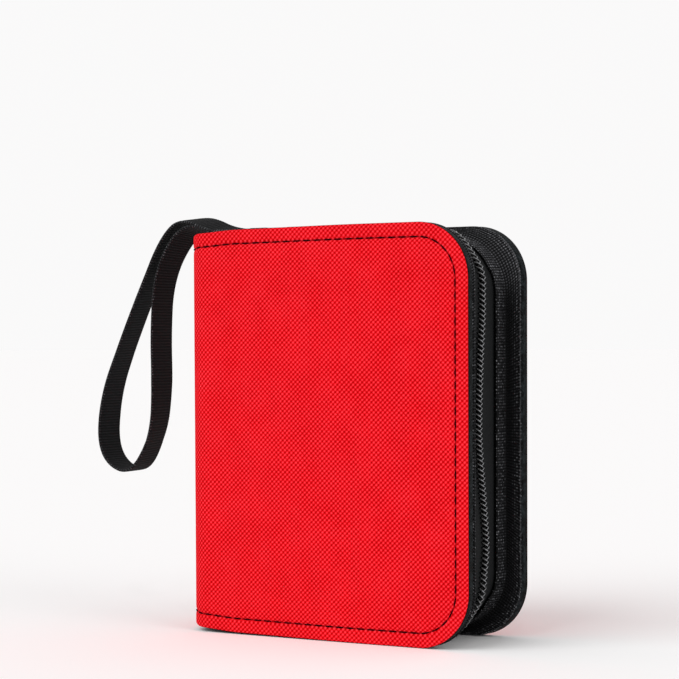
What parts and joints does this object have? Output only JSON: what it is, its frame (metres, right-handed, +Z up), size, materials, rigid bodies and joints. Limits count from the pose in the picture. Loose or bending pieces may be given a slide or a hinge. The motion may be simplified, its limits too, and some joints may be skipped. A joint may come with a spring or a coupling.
{
  "type": "zippered card binder",
  "caption": "Small red fabric card binder with a black zip gusset round three sides, a black wrist strap, a three-ring mechanism and clear card pages",
  "frame": {"origin": "centre of the footprint, on the floor under the lower cover edges; the wrist strap is not counted", "axes": "X runs from the spine to the fore-edge, -Y is the front cover, +Z is up along the spine"},
  "size_m": [0.1571, 0.0406, 0.1395],
  "materials": {
    "red": "woven red nylon with a fine diagonal basket weave",
    "board": "grey pressed board, hidden between skin and lining",
    "lining": "black vinyl lining, smooth and slightly glossy at the turned edge",
    "gusset": "black ribbed grosgrain",
    "webbing": "black ribbed flat webbing",
    "tape": "black woven zip tape",
    "coil": "black nylon coil",
    "zip_metal": "black painted zinc",
    "steel": "bright nickel plate",
    "rivet": "plated steel",
    "clear": "clear polypropylene film"
  },
  "bodies": {
    "spine": {"spine_skin": "red", "spine_board": "board", "spine_lining": "lining", "end_gusset_top": "gusset", "end_gusset_bottom": "gusset", "strap_anchor": "gusset", "wrist_strap": "webbing", "ring_plate": "steel", "ring_plate_rivets": "rivet"},
    "front_cover": {"front_skin": "red", "front_board": "board", "front_lining": "lining", "front_gusset": "gusset", "front_zip_tape": "tape", "front_zip_coil": "coil", "front_zip_stop": "zip_metal"},
    "back_cover": {"back_skin": "red", "back_board": "board", "back_lining": "lining", "back_gusset": "gusset", "back_zip_tape": "tape", "back_zip_coil": "coil", "back_zip_stop": "zip_metal"},
    "slider": {"zip_slider": "zip_metal"},
    "pull": {"zip_pull": "zip_metal"},
    "front_rings": {"front_ring_rail": "steel", "front_ring_halves": "steel"},
    "back_rings": {"back_ring_rail": "steel", "back_ring_halves": "steel"},
    "front_page_1_body": {"front_page_1": "clear"},
    "front_page_2_body": {"front_page_2": "clear"},
    "front_page_3_body": {"front_page_3": "clear"},
    "front_page_4_body": {"front_page_4": "clear"},
    "front_page_5_body": {"front_page_5": "clear"},
    "front_page_6_body": {"front_page_6": "clear"},
    "back_page_1_body": {"back_page_1": "clear"},
    "back_page_2_body": {"back_page_2": "clear"},
    "back_page_3_body": {"back_page_3": "clear"},
    "back_page_4_body": {"back_page_4": "clear"},
    "back_page_5_body": {"back_page_5": "clear"},
    "back_page_6_body": {"back_page_6": "clear"}
  },
  "joints": [
    {"name": "front_hinge", "type": "hinge", "parent": "spine", "child": "front_cover", "pos_m": [-0.05167, -0.01737, 0.0673], "axis": [0, 0, -1], "range_deg": [0, 90]},
    {"name": "back_hinge", "type": "hinge", "parent": "spine", "child": "back_cover", "pos_m": [-0.05167, 0.01737, 0.0673], "axis": [0, 0, 1], "range_deg": [0, 90]},
    {"name": "zip_slide", "type": "slide", "parent": "back_cover", "child": "slider", "axis": [1, 0, 0], "range_m": [0, 0.047]},
    {"name": "pull_hinge", "type": "hinge", "parent": "slider", "child": "pull", "pos_m": [-0.02235, 0, 0.1342], "axis": [0, -1, 0], "range_deg": [0, 115]},
    {"name": "front_ring_open", "type": "hinge", "parent": "spine", "child": "front_rings", "pos_m": [-0.0487, -0.0035, 0.0673], "axis": [0, 0, -1], "range_deg": [0, 10]},
    {"name": "back_ring_open", "type": "hinge", "parent": "spine", "child": "back_rings", "pos_m": [-0.0487, 0.0035, 0.0673], "axis": [0, 0, 1], "range_deg": [0, 10]},
    {"name": "front_page_1_turn", "type": "hinge", "parent": "spine", "child": "front_page_1_body", "pos_m": [-0.038, 0, 0.0673], "axis": [0, 0, -1], "range_deg": [0, 55.8]},
    {"name": "front_page_2_turn", "type": "hinge", "parent": "spine", "child": "front_page_2_body", "pos_m": [-0.038, 0, 0.0673], "axis": [0, 0, -1], "range_deg": [0, 61.2]},
    {"name": "front_page_3_turn", "type": "hinge", "parent": "spine", "child": "front_page_3_body", "pos_m": [-0.038, 0, 0.0673], "axis": [0, 0, -1], "range_deg": [0, 66.6]},
    {"name": "front_page_4_turn", "type": "hinge", "parent": "spine", "child": "front_page_4_body", "pos_m": [-0.038, 0, 0.0673], "axis": [0, 0, -1], "range_deg": [0, 72]},
    {"name": "front_page_5_turn", "type": "hinge", "parent": "spine", "child": "front_page_5_body", "pos_m": [-0.038, 0, 0.0673], "axis": [0, 0, -1], "range_deg": [0, 77.4]},
    {"name": "front_page_6_turn", "type": "hinge", "parent": "spine", "child": "front_page_6_body", "pos_m": [-0.038, 0, 0.0673], "axis": [0, 0, -1], "range_deg": [0, 82.8]},
    {"name": "back_page_1_turn", "type": "hinge", "parent": "spine", "child": "back_page_1_body", "pos_m": [-0.038, 0, 0.0673], "axis": [0, 0, 1], "range_deg": [0, 55.8]},
    {"name": "back_page_2_turn", "type": "hinge", "parent": "spine", "child": "back_page_2_body", "pos_m": [-0.038, 0, 0.0673], "axis": [0, 0, 1], "range_deg": [0, 61.2]},
    {"name": "back_page_3_turn", "type": "hinge", "parent": "spine", "child": "back_page_3_body", "pos_m": [-0.038, 0, 0.0673], "axis": [0, 0, 1], "range_deg": [0, 66.6]},
    {"name": "back_page_4_turn", "type": "hinge", "parent": "spine", "child": "back_page_4_body", "pos_m": [-0.038, 0, 0.0673], "axis": [0, 0, 1], "range_deg": [0, 72]},
    {"name": "back_page_5_turn", "type": "hinge", "parent": "spine", "child": "back_page_5_body", "pos_m": [-0.038, 0, 0.0673], "axis": [0, 0, 1], "range_deg": [0, 77.4]},
    {"name": "back_page_6_turn", "type": "hinge", "parent": "spine", "child": "back_page_6_body", "pos_m": [-0.038, 0, 0.0673], "axis": [0, 0, 1], "range_deg": [0, 82.8]}
  ],
  "couplings": [
    {"joint": "back_ring_open", "follows": "front_ring_open", "ratio": 1},
    {"joint": "front_page_1_turn", "follows": "front_hinge", "ratio": 0.62},
    {"joint": "front_page_2_turn", "follows": "front_hinge", "ratio": 0.68},
    {"joint": "front_page_3_turn", "follows": "front_hinge", "ratio": 0.74},
    {"joint": "front_page_4_turn", "follows": "front_hinge", "ratio": 0.8},
    {"joint": "front_page_5_turn", "follows": "front_hinge", "ratio": 0.86},
    {"joint": "front_page_6_turn", "follows": "front_hinge", "ratio": 0.92},
    {"joint": "back_page_1_turn", "follows": "back_hinge", "ratio": 0.62},
    {"joint": "back_page_2_turn", "follows": "back_hinge", "ratio": 0.68},
    {"joint": "back_page_3_turn", "follows": "back_hinge", "ratio": 0.74},
    {"joint": "back_page_4_turn", "follows": "back_hinge", "ratio": 0.8},
    {"joint": "back_page_5_turn", "follows": "back_hinge", "ratio": 0.86},
    {"joint": "back_page_6_turn", "follows": "back_hinge", "ratio": 0.92}
  ]
}
